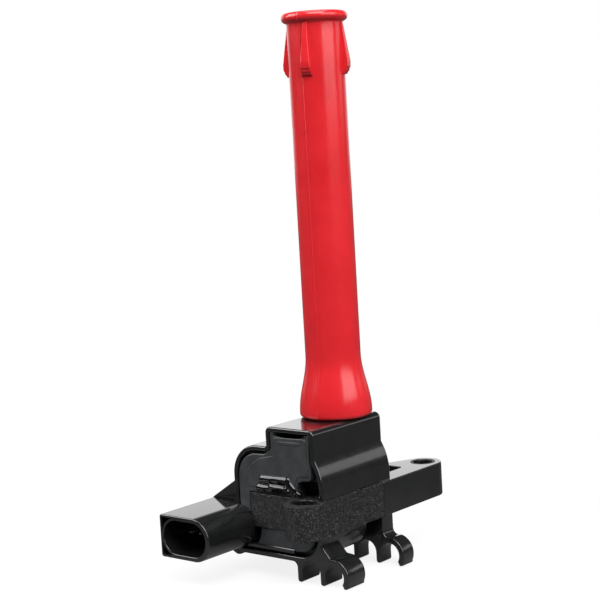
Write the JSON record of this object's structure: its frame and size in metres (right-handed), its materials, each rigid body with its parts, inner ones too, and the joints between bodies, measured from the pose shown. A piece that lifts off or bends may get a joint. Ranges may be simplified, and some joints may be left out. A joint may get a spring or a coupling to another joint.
{
  "type": "ignition coil",
  "caption": "Ignition coil with a laminated core between two bolt holes, a side connector, lead clips and a long silicone boot that reaches down to the spark plug.",
  "frame": {"origin": "centre of the front bolt hole on the mounting face, at the connector's end", "axes": "+X along the core to the rear bolt hole, +Y across to the connector's side, +Z along the boot towards the spark plug"},
  "size_m": [0.0907, 0.0595, 0.182],
  "materials": {
    "case_plastic": "satin moulded glass-filled plastic, glossier on the top",
    "potting_resin": "cast epoxy with a soft skin and a slight meniscus",
    "laminated_core": "black coated steel laminations, rough and sparkling",
    "magnet": "plain ferrite",
    "bush_steel": "zinc plated",
    "bobbin_black": "moulded",
    "bobbin_pale": "moulded",
    "enamelled_copper": "enamelled wire",
    "tinned_brass": "tinned",
    "terminal_brass": "turned",
    "ceramic": "glazed ceramic",
    "spring_steel": "bright spring wire",
    "red_silicone": "satin moulded silicone rubber"
  },
  "bodies": {
    "coil": {"case_shell": "case_plastic", "lower_tray": "case_plastic", "connector_shell": "case_plastic", "resin_fill": "potting_resin", "core_frame": "laminated_core", "core_leg": "laminated_core", "core_magnet": "magnet", "front_bush": "bush_steel", "rear_bush": "bush_steel", "primary_bobbin": "bobbin_black", "primary_winding": "enamelled_copper", "secondary_bobbin": "bobbin_pale", "secondary_winding": "enamelled_copper", "supply_pin": "tinned_brass", "trigger_pin": "tinned_brass", "earth_pin": "tinned_brass", "supply_lead": "enamelled_copper", "trigger_lead": "enamelled_copper", "earth_strap": "tinned_brass", "ht_lead": "tinned_brass", "ht_terminal": "terminal_brass"},
    "boot": {"boot": "red_silicone", "suppressor_rod": "ceramic", "contact_spring": "spring_steel"},
    "contact": {"plug_contact": "terminal_brass"}
  },
  "joints": [
    {"name": "boot_pull", "type": "slide", "parent": "coil", "child": "boot", "axis": [0, 0, 1], "range_m": [0, 0.03]},
    {"name": "contact_press", "type": "slide", "parent": "boot", "child": "contact", "axis": [0, 0, -1], "range_m": [0, 0.006], "stiffness_N_per_m": 300, "deforming": ["contact_spring"]}
  ]
}
